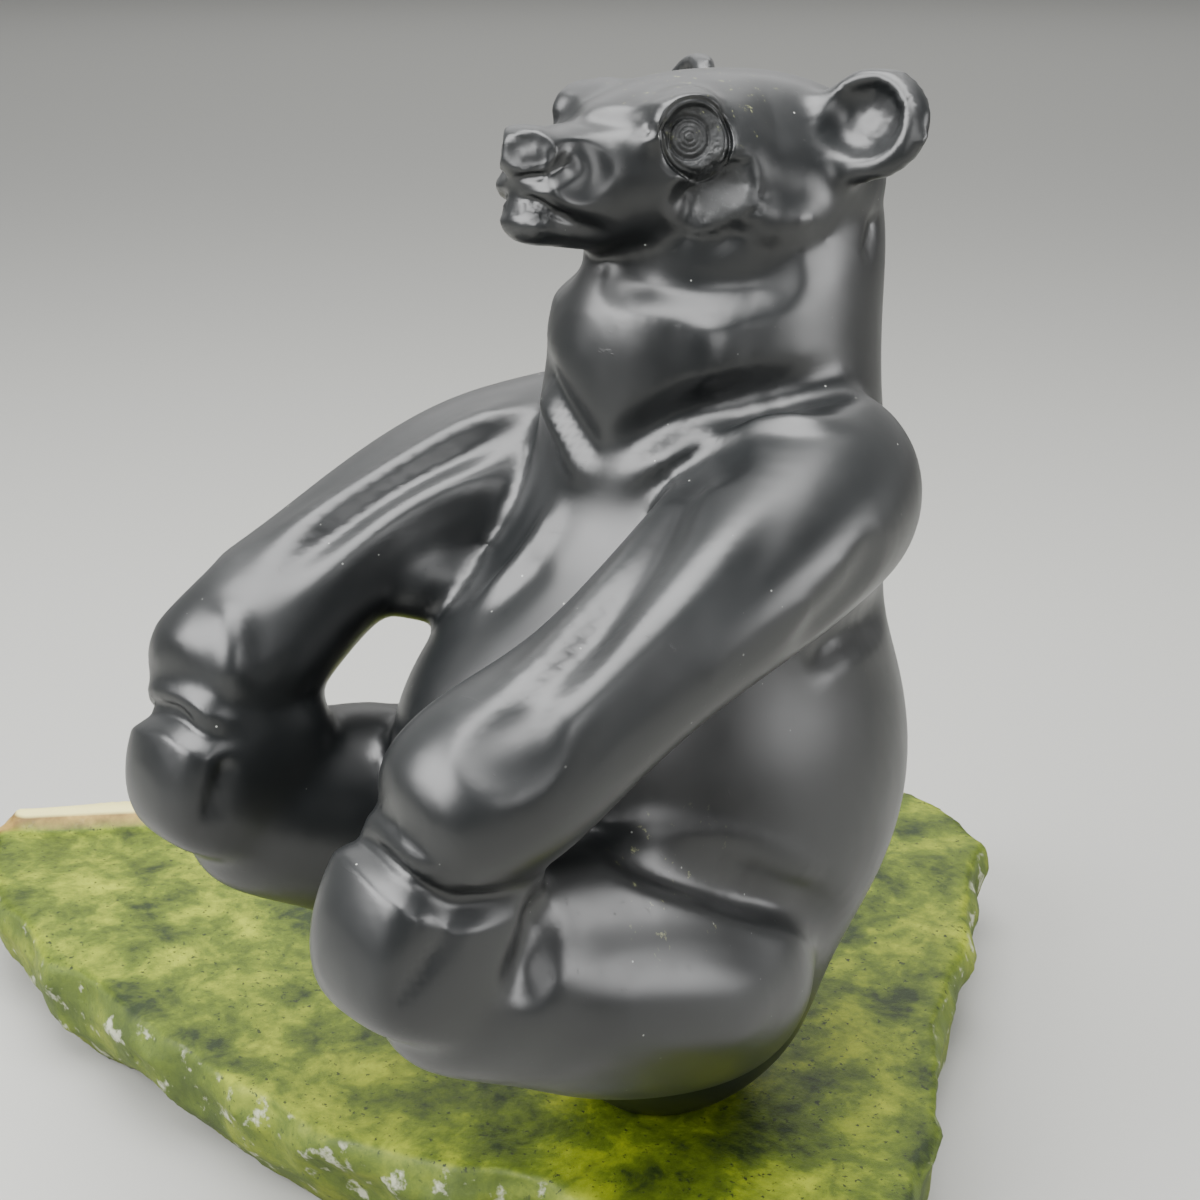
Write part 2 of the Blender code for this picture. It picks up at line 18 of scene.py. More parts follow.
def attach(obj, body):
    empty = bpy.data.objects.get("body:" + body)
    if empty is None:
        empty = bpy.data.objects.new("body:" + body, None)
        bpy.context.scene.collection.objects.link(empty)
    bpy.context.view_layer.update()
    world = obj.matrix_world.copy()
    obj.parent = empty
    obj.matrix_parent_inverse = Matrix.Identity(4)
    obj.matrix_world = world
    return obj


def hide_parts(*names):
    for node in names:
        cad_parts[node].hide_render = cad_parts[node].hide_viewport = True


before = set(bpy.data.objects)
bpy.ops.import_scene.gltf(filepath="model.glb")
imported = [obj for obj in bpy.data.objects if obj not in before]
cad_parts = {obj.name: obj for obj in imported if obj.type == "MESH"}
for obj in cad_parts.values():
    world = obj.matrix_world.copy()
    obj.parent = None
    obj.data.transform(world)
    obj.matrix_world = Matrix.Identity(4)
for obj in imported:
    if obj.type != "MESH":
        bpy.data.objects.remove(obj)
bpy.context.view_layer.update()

# %% [markdown]
# ## Sizes
#
# The bear's forms are given as shares of its height, measured up from the lowest point of its round rump. Its
# seat is ground flat a little above that point. One function turns such a place into metres on the slab.

# %% Sizes shared by the cells below
BEAR_HEIGHT = 0.240
SEAT_CUT = 0.026
SLAB_THICKNESS = 0.030
SEAT_GAP = 0.0003
BEAR_SEAT = (0.0720, -0.0262)
MM = 0.001


def on_slab(place):
    """A place in shares of the bear's height, in metres of the frame."""
    x, y, z = place
    return Vector((
        BEAR_SEAT[0] + x * BEAR_HEIGHT,
        BEAR_SEAT[1] + y * BEAR_HEIGHT,
        SLAB_THICKNESS + SEAT_GAP + (z - SEAT_CUT) * BEAR_HEIGHT,
    ))


# %% [markdown]
# ## The camera
#
# The photographer stood in front and to the bear's left, a little above its head, about half a metre away. A
# long phone lens gives the frame its angle. The camera is set first, so every later render can be laid over
# the photograph.

# %% Camera at the photograph's viewing angle
CAMERA_PLACE = (1.286, -1.226, 1.141)
CAMERA_DIP = math.radians(19.348)
CAMERA_TURN = math.radians(49.919)
SENSOR_WIDTH = 36.0
LENS_LENGTH = 60.0

camera_data = bpy.data.cameras.new("photograph camera")
camera_data.sensor_width = SENSOR_WIDTH
camera_data.lens = LENS_LENGTH
camera_data.clip_start = 0.01
camera = bpy.data.objects.new("photograph camera", camera_data)
camera.location = on_slab(CAMERA_PLACE)
camera.rotation_euler = (math.radians(90.0) - CAMERA_DIP, 0.0, CAMERA_TURN)
bpy.context.scene.collection.objects.link(camera)
bpy.context.scene.camera = camera
print("camera at", [round(v, 3) for v in camera.location])

# %% [markdown]
# ## A small tool kit
#
# Three habits keep the modelling honest. Everything is deselected before an operator runs. A mesh's points
# are read and written as one array, which is how a sculptor's brush works on many points at once. And a
# modifier is applied as soon as it has done its work.


# %% Helpers for selecting, applying and reading points
def only(thing):
    """Makes one object the only selected and the active one."""
    bpy.ops.object.select_all(action="DESELECT")
    thing.select_set(True)
    bpy.context.view_layer.objects.active = thing


def apply_modifier(thing, name, kind, **settings):
    """Adds a modifier, sets it and applies it at once."""
    only(thing)
    modifier = thing.modifiers.new(name, kind)
    for key, value in settings.items():
        setattr(modifier, key, value)
    bpy.ops.object.modifier_apply(modifier=modifier.name)


def get_points(thing):
    points = np.empty(len(thing.data.vertices) * 3)
    thing.data.vertices.foreach_get("co", points)
    return points.reshape(-1, 3)


def set_points(thing, points):
    thing.data.vertices.foreach_set("co", points.ravel())
    thing.data.update()


def get_normals(thing):
    normals = np.empty(len(thing.data.vertices) * 3)
    thing.data.vertex_normals.foreach_get("vector", normals)
    return normals.reshape(-1, 3)


def join_all(things, name):
    """Joins several objects into the first and names the result."""
    bpy.ops.object.select_all(action="DESELECT")
    for thing in things:
        thing.select_set(True)
    bpy.context.view_layer.objects.active = things[0]
    bpy.ops.object.join()
    things[0].name = name
    things[0].data.name = name
    return things[0]


# %% [markdown]
# ## The masses of the bear
#
# A carver starts from masses: a barrel for the body, a cone for the muzzle, a bent log for each arm. Here
# each limb is a row of circles set across its line, then bridged into a skin, as a boat is skinned over its
# ribs. A circle's corners can be pushed out a little for the squarer foot and muzzle.

# %% A limb skinned over rings
RING_POINTS = 16
# A subdivided ring draws in towards its middle, so its control points stand out by this share.
STAND_OUT = 3.0 / (2.0 + math.cos(math.tau / RING_POINTS))


def add_ring(centre, along, half_width, half_height, squareness):
    """One circle across the limb's line, pushed towards a square if asked."""
    bpy.ops.object.select_all(action="DESELECT")
    bpy.ops.mesh.primitive_circle_add(vertices=RING_POINTS, radius=1.0, location=(0, 0, 0))
    circle = bpy.context.object
    points = get_points(circle)
    flat = points[:, :2]
    points[:, :2] = np.sign(flat) * np.abs(flat) ** (2.0 / squareness)
    set_points(circle, points)
    along = along.normalized()
    side = (Vector((1, 0, 0)) - along * along.x).normalized()
    upward = along.cross(side)
    reach = BEAR_HEIGHT * STAND_OUT
    place = Matrix((side * half_width * reach, upward * half_height * reach, along)).transposed().to_4x4()
    place.translation = centre
    circle.data.transform(place)
    return circle


def add_form(name, stations, squareness=2.0, level=False):
    """A closed limb: rings at the stations, bridged one to the next, with both ends filled.

    A station is (x, y, z, half width, half height), as shares of the bear's height.
    """
    middles = [on_slab(s[:3]) for s in stations]
    rings = []
    for i, station in enumerate(stations):
        line = middles[min(i + 1, len(middles) - 1)] - middles[max(i - 1, 0)]
        rings.append(add_ring(middles[i], Vector((0, 0, 1)) if level else line, *station[3:], squareness))
    form = join_all(rings, name)
    bpy.ops.object.mode_set(mode="EDIT")
    bpy.ops.mesh.select_all(action="SELECT")
    bpy.ops.mesh.bridge_edge_loops()
    bpy.ops.mesh.select_all(action="SELECT")
    bpy.ops.mesh.fill_holes(sides=0)
    bpy.ops.mesh.normals_make_consistent(inside=False)
    bpy.ops.object.mode_set(mode="OBJECT")
    return form


def add_ball(name, centre, radii, turn=(0, 0, 0)):
    """An egg-shaped mass, turned by degrees about X, Y and Z."""
    bpy.ops.object.select_all(action="DESELECT")
    bpy.ops.mesh.primitive_uv_sphere_add(segments=16, ring_count=10, radius=1.0, location=(0, 0, 0))
    ball = bpy.context.object
    ball.name = name
    place = Matrix.Translation(on_slab(centre))
    for axis, degrees in zip("ZYX", reversed(turn)):
        place = place @ Matrix.Rotation(math.radians(degrees), 4, axis)
    ball.data.transform(place @ Matrix.Diagonal((*[r * BEAR_HEIGHT for r in radii], 1.0)))
    return ball


# %% [markdown]
# The body is one tall egg: a rump that narrows to the ground seat, a full belly, a chest and a neck as thick
# as the skull. The rings lie level, so each one is simply a width and a depth at a height.

# %% Body
BODY = (
    # z, middle's y, half width, half depth
    (0.000, -0.055, 0.030, 0.045),
    (0.020, -0.055, 0.062, 0.074),
    (0.045, -0.060, 0.092, 0.095),
    (0.080, -0.066, 0.124, 0.127),
    (0.120, -0.075, 0.152, 0.157),
    (0.200, -0.078, 0.172, 0.182),
    (0.280, -0.070, 0.202, 0.241),
    (0.360, -0.068, 0.206, 0.268),
    (0.440, -0.078, 0.190, 0.272),
    (0.510, -0.078, 0.166, 0.244),
    (0.580, -0.034, 0.160, 0.196),
    (0.650, -0.010, 0.155, 0.168),
    (0.720, -0.010, 0.132, 0.168),
    (0.800, -0.008, 0.124, 0.170),
    (0.870, 0.012, 0.115, 0.158),
    (0.940, 0.060, 0.080, 0.090),
)
masses = [add_form("body", [(0.0, y, z, a, b) for z, y, a, b in BODY], level=True)]

# %% [markdown]
# The limbs are mirrored, but no carver works to a mirror: the right leg sits a little higher and further back
# and the right shoulder is lower. Those small shifts are kept, because they show in the outline.

# %% Legs, feet and arms
RIGHT_LEG_SHIFT = (-0.005, 0.026, 0.014)
RIGHT_ARM_SHIFT = (-0.004, 0.010, 0.000)
RIGHT_SHOULDER_DROP = 0.022

LEG = [
    (0.092, -0.060, 0.205, 0.064, 0.064),
    (0.116, -0.092, 0.214, 0.090, 0.096),
    (0.136, -0.140, 0.240, 0.104, 0.108),
    (0.150, -0.205, 0.271, 0.103, 0.116),
    (0.158, -0.280, 0.303, 0.093, 0.116),
    (0.163, -0.360, 0.334, 0.080, 0.098),
    (0.167, -0.430, 0.354, 0.070, 0.086),
    (0.168, -0.490, 0.372, 0.054, 0.062),
]
FOOT = [
    (0.168, -0.486, 0.322, 0.046, 0.046),
    (0.168, -0.474, 0.342, 0.062, 0.074),
    (0.168, -0.460, 0.392, 0.067, 0.090),
    (0.168, -0.440, 0.448, 0.064, 0.084),
    (0.168, -0.428, 0.488, 0.050, 0.065),
]
ARM = [
    (0.090, 0.052, 0.656, 0.074, 0.078),
    (0.126, 0.006, 0.656, 0.094, 0.099),
    (0.158, -0.066, 0.650, 0.098, 0.088),
    (0.182, -0.150, 0.628, 0.095, 0.078),
    (0.195, -0.240, 0.598, 0.082, 0.066),
    (0.198, -0.325, 0.558, 0.072, 0.062),
    (0.188, -0.395, 0.519, 0.078, 0.080),
    (0.177, -0.445, 0.498, 0.074, 0.070),
    (0.170, -0.480, 0.484, 0.055, 0.045),
]


def on_right(stations, shift):
    """The same limb on the bear's right side, moved by a small shift."""
    return [(-s[0] + shift[0], s[1] + shift[1], s[2] + shift[2], *s[3:]) for s in stations]


right_arm = on_right(ARM, RIGHT_ARM_SHIFT)
for i, (x, y, z, half_width, half_height) in enumerate(right_arm[:3]):
    right_arm[i] = (x, y, z - RIGHT_SHOULDER_DROP, half_width, half_height)
masses.append(add_form("left leg", LEG))
masses.append(add_form("right leg", on_right(LEG, RIGHT_LEG_SHIFT)))
masses.append(add_form("left foot", FOOT, squareness=3.2))
masses.append(add_form("right foot", on_right(FOOT, RIGHT_LEG_SHIFT), squareness=3.2))
masses.append(add_form("left arm", ARM))
masses.append(add_form("right arm", right_arm))
print("limbs laid on:", len(masses))

# %% [markdown]
# The head is a skull that narrows to a blunt muzzle, with separate small eggs for the nose, the chin, the
# cheeks and the brows. The ears are thick discs that open forward and outward.

# %% Head and ears
SKULL = [
    (0.0, 0.135, 0.895, 0.065, 0.055),
    (0.0, 0.105, 0.900, 0.098, 0.080),
    (0.0, 0.050, 0.912, 0.116, 0.089),
    (0.0, -0.020, 0.922, 0.113, 0.084),
    (0.0, -0.080, 0.929, 0.094, 0.075),
    (0.0, -0.130, 0.924, 0.068, 0.064),
    (0.0, -0.180, 0.918, 0.046, 0.052),
]
MUZZLE = [
    (0.0, -0.080, 0.915, 0.050, 0.050),
    (0.0, -0.120, 0.915, 0.056, 0.056),
    (0.0, -0.180, 0.918, 0.044, 0.052),
    (0.0, -0.218, 0.922, 0.044, 0.045),
    (0.0, -0.234, 0.923, 0.036, 0.033),
]
masses.append(add_form("skull", SKULL))
masses.append(add_form("muzzle", MUZZLE, squareness=2.4))
masses.append(add_ball("nose", (0.0, -0.222, 0.950), (0.039, 0.028, 0.023)))
masses.append(add_ball("chin", (0.0, -0.210, 0.893), (0.037, 0.034, 0.022)))
for side in (1, -1):
    cheek_turn = (0, 0, side * 18)
    brow_turn = (20, 0, 0)
    ear_turn = (-36, side * -38, side * 53)
    masses.append(add_ball("cheek", (side * 0.070, 0.010, 0.888), (0.046, 0.085, 0.036), cheek_turn))
    masses.append(add_ball("brow", (side * 0.052, -0.108, 0.972), (0.036, 0.044, 0.024), brow_turn))
    masses.append(add_ball("ear", (side * 0.118, 0.054, 0.961), (0.058, 0.023, 0.055), ear_turn))
# A thick web in the right armpit rounds the gap between arm and thigh.
masses.append(add_ball("armpit web", (-0.150, -0.215, 0.555), (0.055, 0.075, 0.045)))

# %% [markdown]
# ## Rubbing the masses into one stone
#
# Subdivision rounds every mass, a voxel remesh melts them into a single skin, and smoothing does what wet
# sandpaper does: it fills the joins with soft valleys. Then the head, which carries the fine cuts, gets
# smaller faces than the body, and the eyes smaller ones still.

# %% Fuse, soften and refine where the cuts go
CLAY_VOXEL = 1.7 * MM
SOFTENING_PASSES = 12

bear = join_all(masses, "carved_bear")
apply_modifier(bear, "round the forms", "SUBSURF", levels=2, render_levels=2)
apply_modifier(bear, "fuse the forms", "REMESH", mode="VOXEL", voxel_size=CLAY_VOXEL)
apply_modifier(bear, "soften the joins", "SMOOTH", iterations=SOFTENING_PASSES, factor=0.5)


def refine_near(thing, places, reach):
    """Halves the faces whose centres lie within reach of a place, and relaxes their new points."""
    centres = np.empty(len(thing.data.polygons) * 3)
    thing.data.polygons.foreach_get("center", centres)
    centres = centres.reshape(-1, 3)
    chosen = np.zeros(len(centres), dtype=bool)
    for place in places:
        gap = np.linalg.norm(centres - np.array(on_slab(place)), axis=1)
        chosen |= gap < reach * BEAR_HEIGHT
    only(thing)
    bpy.ops.object.mode_set(mode="EDIT")
    bpy.ops.mesh.select_mode(type="FACE")
    bpy.ops.mesh.select_all(action="DESELECT")
    bpy.ops.object.mode_set(mode="OBJECT")
    thing.data.polygons.foreach_set("select", chosen)
    bpy.ops.object.mode_set(mode="EDIT")
    bpy.ops.mesh.subdivide(number_cuts=1, smoothness=0.0)
    bpy.ops.mesh.vertices_smooth(factor=0.5, repeat=3)
    bpy.ops.object.mode_set(mode="OBJECT")


HEAD_MIDDLE = (0.0, -0.05, 0.955)
HEAD_REACH = 0.190
MUZZLE_TIP = (0.0, -0.225, 0.925)
MUZZLE_REACH = 0.060
EYE_CENTRE = (0.076, -0.106, 0.958)
EYE_REACHES = (0.045, 0.034)
CHEEK_CENTRE = (0.084, -0.085, 0.915)
HAND_EDGE = (
    (0.218, -0.415, 0.438),
    (0.222, -0.455, 0.444),
    (0.208, -0.505, 0.474),
    (0.150, -0.502, 0.486),
    (0.120, -0.470, 0.462),
)
HAND_REACH = 0.032

both_hands = [*HAND_EDGE, *[(-x, y, z) for x, y, z in HAND_EDGE]]
refine_near(bear, [HEAD_MIDDLE], HEAD_REACH)
refine_near(bear, both_hands, HAND_REACH)
refine_near(bear, [MUZZLE_TIP], MUZZLE_REACH)
for side in (1, -1):
    for reach in EYE_REACHES:
        refine_near(bear, [(side * EYE_CENTRE[0], *EYE_CENTRE[1:])], reach)
print("bear faces:", len(bear.data.polygons))

# %% [markdown]
# ## Cutting
#
# Two cuts make the broad carving. A stroke is a groove or a ridge along a path, sharp like a file's or round
# like a rasp's, and it fades out at both ends as a tool does when it leaves the stone. A bowl is a round
# dent. Each path is first laid on the stone, so that a few listed points are enough.


# %% The two cuts
STEPS_IN_LEG = 5
SETTLING_REACH = 0.012 * BEAR_HEIGHT
EASING_PASSES = 3
FADING_SHARE = 0.3


def lay_on(points, path):
    """A finer path on the surface: each short step settles among the nearest points of the stone."""
    corners = [np.array(on_slab(p)) for p in path]
    places = []
    for start, end in zip(corners, corners[1:]):
        places += [start + (end - start) * k / STEPS_IN_LEG for k in range(STEPS_IN_LEG)]
    places.append(corners[-1])
    laid = []
    for place in places:
        squares = ((points - place) ** 2).sum(axis=1)
        weights = np.exp((squares.min() - squares) / SETTLING_REACH ** 2)
        laid.append(weights @ points / weights.sum())
    laid = np.array(laid)
    for _ in range(EASING_PASSES):
        laid[1:-1] = (laid[:-2] + 2.0 * laid[1:-1] + laid[2:]) / 4.0
    return laid


def along_path(points, path, reach):
    """Which points lie within reach of a path, how far off it they are, and how far along it."""
    laid = lay_on(points, path)
    near = np.all((points > np.min(laid, axis=0) - reach) & (points < np.max(laid, axis=0) + reach), axis=1)
    here = points[near]
    gap = np.full(len(here), np.inf)
    share = np.zeros(len(here))
    for k, (start, end) in enumerate(zip(laid, laid[1:])):
        step = end - start
        along = np.clip((here - start) @ step / max(step @ step, 1e-12), 0.0, 1.0)
        distance = np.linalg.norm(here - start - along[:, None] * step, axis=1)
        closer = distance < gap
        gap[closer] = distance[closer]
        share[closer] = (k + along[closer]) / (len(laid) - 1)
    return near, gap, share


def soft(share):
    """Eases a share between 0 and 1 at both of its ends."""
    share = np.clip(share, 0.0, 1.0)
    return share * share * (3.0 - 2.0 * share)


def press_stroke(points, inward, path, width, depth, sharp=False):
    """Presses a groove, or raises a ridge where the depth is below zero; sizes are shares of the height."""
    reach = width * BEAR_HEIGHT
    near, gap, share = along_path(points, path, reach)
    fall = np.clip(1.0 - gap / reach, 0.0, 1.0)
    if not sharp:
        fall = soft(fall)
    fade = soft(np.minimum(share, 1.0 - share) / FADING_SHARE)
    points[near] += inward[near] * (fall * fade * depth * BEAR_HEIGHT)[:, None]


def press_bowl(points, toward, centre, radii, depth):
    """Presses a round dent, deepest in its middle, in one direction."""
    offset = (points - np.array(on_slab(centre))) / (np.array(radii) * BEAR_HEIGHT)
    fall = soft(1.0 - (offset ** 2).sum(axis=1))
    toward = np.array(toward) / np.linalg.norm(toward)
    points += toward * (fall * depth * BEAR_HEIGHT)[:, None]


def mirrored(place, shift=(0, 0, 0)):
    return (-place[0] + shift[0], place[1] + shift[1], place[2] + shift[2])


# %% [markdown]
# The broad strokes set each mass against the next: hand over toes, thigh against belly, shoulder against
# neck, jaw over throat. The two arms are not alike. The left one has its long ridge on the outer side and the
# right one on top, because the carver worked each from where the stone could be reached.

# %% Broad strokes
SIDE_STROKES = (
    # front of the hand, over the toes
    (
        ((0.214, -0.385, 0.440), (0.222, -0.445, 0.442), (0.221, -0.474, 0.449), (0.208, -0.505, 0.474),
         (0.150, -0.502, 0.486), (0.121, -0.484, 0.466), (0.119, -0.440, 0.456)),
        0.018, 0.014, True, "arm",
    ),
    # corners between the sole and the sides of the foot
    (((0.221, -0.470, 0.446), (0.229, -0.490, 0.426), (0.228, -0.510, 0.405), (0.217, -0.529, 0.380)),
     0.016, 0.005, True, "leg"),
    (((0.110, -0.485, 0.442), (0.105, -0.498, 0.412), (0.110, -0.514, 0.378)), 0.016, 0.005, True, "leg"),
    # outer side of the foot, behind its edge
    (((0.222, -0.372, 0.440), (0.225, -0.390, 0.405), (0.224, -0.408, 0.375), (0.228, -0.420, 0.340)),
     0.036, 0.015, False, "leg"),
    # top of the thigh against the belly
    (((0.150, -0.300, 0.430), (0.180, -0.270, 0.412), (0.197, -0.213, 0.385), (0.203, -0.148, 0.350),
      (0.205, -0.088, 0.315), (0.195, -0.035, 0.275), (0.165, 0.015, 0.200)), 0.036, 0.015, False, "leg"),
    # roll of the belly over the thigh
    (((0.155, -0.285, 0.425), (0.175, -0.226, 0.407), (0.191, -0.173, 0.382), (0.204, -0.110, 0.346),
      (0.203, -0.055, 0.312)), 0.034, -0.007, False, "leg"),
    # long plane worn between the top and the side of the thigh, and the swell of the side below it
    (((0.222, -0.420, 0.400), (0.226, -0.350, 0.392), (0.230, -0.253, 0.370), (0.226, -0.160, 0.335),
      (0.205, -0.080, 0.300)), 0.075, 0.015, False, "leg"),
    (((0.240, -0.400, 0.300), (0.250, -0.320, 0.285), (0.250, -0.220, 0.262), (0.236, -0.130, 0.245)),
     0.060, -0.006, False, "leg"),
    # fold from the back to the flank
    (((0.100, 0.120, 0.515), (0.155, 0.020, 0.530), (0.185, -0.060, 0.520)), 0.030, 0.012, False, "arm"),
    # groove behind the shoulder, where the arm leaves the back
    (((0.250, -0.050, 0.655), (0.266, -0.112, 0.620), (0.270, -0.190, 0.585)), 0.030, 0.006, False, "arm"),
    # underside of the jaw
    (((0.010, -0.150, 0.848), (0.042, -0.136, 0.842), (0.081, -0.104, 0.836), (0.103, -0.056, 0.837),
      (0.110, -0.010, 0.850)), 0.036, 0.013, False, "head"),
    # mouth, running back along the muzzle
    (((0.006, -0.240, 0.911), (0.026, -0.222, 0.906), (0.038, -0.190, 0.890), (0.036, -0.155, 0.878)),
     0.013, 0.007, True, "head"),
    # under the nose pad
    (((0.004, -0.242, 0.929), (0.026, -0.228, 0.932), (0.038, -0.212, 0.937), (0.042, -0.192, 0.946)),
     0.012, 0.007, True, "head"),
    # step from the muzzle up to the forehead
    (((-0.006, -0.172, 0.969), (0.019, -0.160, 0.971), (0.046, -0.142, 0.973), (0.060, -0.134, 0.974)),
     0.018, 0.004, False, "head"),
    # brow over the eye
    (((0.048, -0.152, 0.966), (0.057, -0.136, 0.982), (0.071, -0.105, 0.991), (0.080, -0.082, 0.985),
      (0.086, -0.068, 0.965)), 0.018, -0.004, False, "head"),
    # hollow under the cheekbone, and the roll of the jaw below it
    (((0.098, -0.055, 0.928), (0.084, -0.080, 0.918), (0.073, -0.104, 0.908), (0.060, -0.126, 0.892)),
     0.026, 0.015, False, "head"),
    (((0.096, -0.045, 0.912), (0.080, -0.065, 0.898), (0.073, -0.086, 0.887), (0.060, -0.112, 0.876)),
     0.022, -0.007, False, "head"),
    # slope of the temple, from behind the eye to below the ear
    (((0.090, -0.060, 0.985), (0.108, -0.020, 0.978), (0.112, 0.030, 0.962), (0.104, 0.075, 0.940)),
     0.070, 0.010, False, "head"),
    # fold where the jaw meets the back of the neck
    (((0.108, 0.068, 0.838), (0.101, 0.081, 0.860), (0.095, 0.093, 0.885)), 0.016, 0.005, False, "head"),
)

ARM_STROKES = (
    # left arm: long ridge on the outer side, the groove inside it, and a lower ridge beside that
    (((0.195, -0.125, 0.712), (0.228, -0.216, 0.666), (0.240, -0.276, 0.634), (0.247, -0.380, 0.583),
      (0.246, -0.445, 0.540)), 0.034, -0.008, False),
    (((0.127, -0.132, 0.709), (0.150, -0.185, 0.690), (0.183, -0.242, 0.668), (0.205, -0.307, 0.635),
      (0.222, -0.354, 0.611), (0.239, -0.430, 0.562)), 0.030, 0.013, False),
    (((0.165, -0.220, 0.675), (0.189, -0.300, 0.642), (0.206, -0.365, 0.610), (0.211, -0.453, 0.568)),
     0.028, -0.006, False),
    # right arm: ridge along the top, the groove inside it, and a ridge below that
    (((-0.125, -0.090, 0.706), (-0.149, -0.162, 0.690), (-0.160, -0.223, 0.665), (-0.184, -0.337, 0.616),
      (-0.176, -0.395, 0.590)), 0.028, -0.007, False),
    (((-0.110, -0.120, 0.692), (-0.137, -0.194, 0.670), (-0.151, -0.251, 0.644), (-0.159, -0.311, 0.617),
      (-0.141, -0.410, 0.570)), 0.026, 0.012, False),
    (((-0.079, -0.159, 0.657), (-0.125, -0.215, 0.644), (-0.142, -0.269, 0.626), (-0.142, -0.318, 0.599),
      (-0.126, -0.410, 0.552)), 0.026, -0.006, False),
    # corner between the front and the inner side of the right hand
    (((-0.162, -0.421, 0.580), (-0.129, -0.443, 0.540), (-0.121, -0.451, 0.495)), 0.026, -0.006, False),
    # crest of the left shoulder against the neck, and the hollow of the neck behind it
    (((0.040, -0.175, 0.668), (0.075, -0.150, 0.695), (0.100, -0.126, 0.716), (0.135, -0.098, 0.726),
      (0.178, -0.070, 0.734), (0.186, -0.015, 0.734)), 0.020, -0.010, False),
    (((0.030, -0.180, 0.685), (0.060, -0.160, 0.708), (0.090, -0.130, 0.733), (0.120, -0.090, 0.750),
      (0.150, -0.020, 0.758), (0.140, 0.050, 0.750)), 0.032, 0.012, False),
    # crest of the right shoulder, and the neck's edge beside it
    (((-0.070, -0.150, 0.742), (-0.030, -0.172, 0.722), (0.005, -0.180, 0.695), (0.026, -0.180, 0.664)),
     0.020, -0.009, False),
    (((-0.080, -0.120, 0.765), (-0.030, -0.165, 0.745), (0.015, -0.180, 0.705), (0.030, -0.180, 0.680)),
     0.030, 0.009, False),
    # fold of the right breast into the arm, and the crease beside it
    (((-0.040, -0.262, 0.550), (-0.022, -0.227, 0.587), (-0.009, -0.199, 0.626), (-0.004, -0.184, 0.655)),
     0.020, -0.008, False),
    (((-0.022, -0.268, 0.542), (-0.004, -0.236, 0.580), (0.010, -0.205, 0.615)), 0.030, 0.004, False),
    # soft edge down the left side of the neck
    (((0.097, -0.102, 0.815), (0.102, -0.108, 0.775), (0.104, -0.110, 0.748)), 0.040, -0.005, False),
)

SIDE_BOWLS = (
    # bowl of the ear
    ((0.124, 0.034, 0.973), (0.042, 0.042, 0.042), 0.021, (-0.44, 0.77, -0.46)),
    # eye socket
    ((0.078, -0.107, 0.958), (0.038, 0.038, 0.038), 0.010, (-0.75, 0.55, -0.35)),
    # nostril
    ((0.024, -0.240, 0.952), (0.027, 0.028, 0.018), 0.009, (-0.35, 0.90, -0.20)),
    # side of the snout, behind the nose
    ((0.042, -0.198, 0.938), (0.026, 0.032, 0.030), 0.007, (-1.0, 0.3, 0.0)),
    # hollow above the wrist
    ((0.236, -0.424, 0.563), (0.036, 0.050, 0.040), 0.006, (-0.6, 0.3, -0.7)),
)
SHOULDER_BOWL = ((0.140, -0.150, 0.706), (0.050, 0.045, 0.040), 0.009, (-0.3, 0.6, -0.7))
EYE_DISC = ((0.077, -0.108, 0.958), (0.017, 0.017, 0.017), 0.005, (0.75, -0.55, 0.35))
SHIFTS = {"leg": RIGHT_LEG_SHIFT, "arm": RIGHT_ARM_SHIFT, "head": (0, 0, 0)}

points = get_points(bear)
inward = -get_normals(bear)
for path, width, depth, sharp, limb in SIDE_STROKES:
    press_stroke(points, inward, path, width, depth, sharp)
    press_stroke(points, inward, [mirrored(p, SHIFTS[limb]) for p in path], width, depth, sharp)
for path, width, depth, sharp in ARM_STROKES:
    press_stroke(points, inward, path, width, depth, sharp)
for centre, radii, depth, toward in (*SIDE_BOWLS, EYE_DISC):
    press_bowl(points, toward, centre, radii, depth)
    press_bowl(points, mirrored(toward), mirrored(centre), radii, depth)
press_bowl(points, SHOULDER_BOWL[3], *SHOULDER_BOWL[:3])
set_points(bear, points)
print("strokes:", 2 * len(SIDE_STROKES) + len(ARM_STROKES))

# %% [markdown]
# ## Fine carving
#
# The face is where the carver changed to small tools. A tube drill drew the round eye and the rings of its
# iris, a point left short rough marks in the hollow of the cheek and in the bowls of the ears, and the lips
# and the edges of the paws are single clean cuts. Rubbing never reached these places, so they stay crisp.

# %% Ease the broad strokes before the fine ones
STROKE_EASING = 4
apply_modifier(bear, "ease the strokes", "SMOOTH", iterations=STROKE_EASING, factor=0.5)

# %% Eyes
EYE_AXIS = (0.75, -0.55, 0.35)
EYE_RADIUS = 0.0290 * BEAR_HEIGHT
IRIS_SHIFT = (0.001, -0.008, 0.003)
EYE_FLATNESS = 0.7
EYE_PIT = 1.3 * MM
EYE_PIT_DEPTH = 0.16 * MM
# Rings of the iris and of the socket: radius and half width as shares of the eye's radius, depth in metres.
IRIS_RINGS = (
    (0.56, 0.11, 0.60 * MM),
    (0.39, 0.06, 0.22 * MM),
    (0.26, 0.05, 0.20 * MM),
    (0.13, 0.05, 0.20 * MM),
)
SOCKET_RINGS = ((1.0, 0.10, 0.70 * MM), (0.84, 0.06, 0.30 * MM))


def polar(points, centre, axis):
    """Distance from an axis through the centre, and height along it."""
    offset = points - centre
    height = offset @ axis
    return np.linalg.norm(offset - height[:, None] * axis, axis=1), height


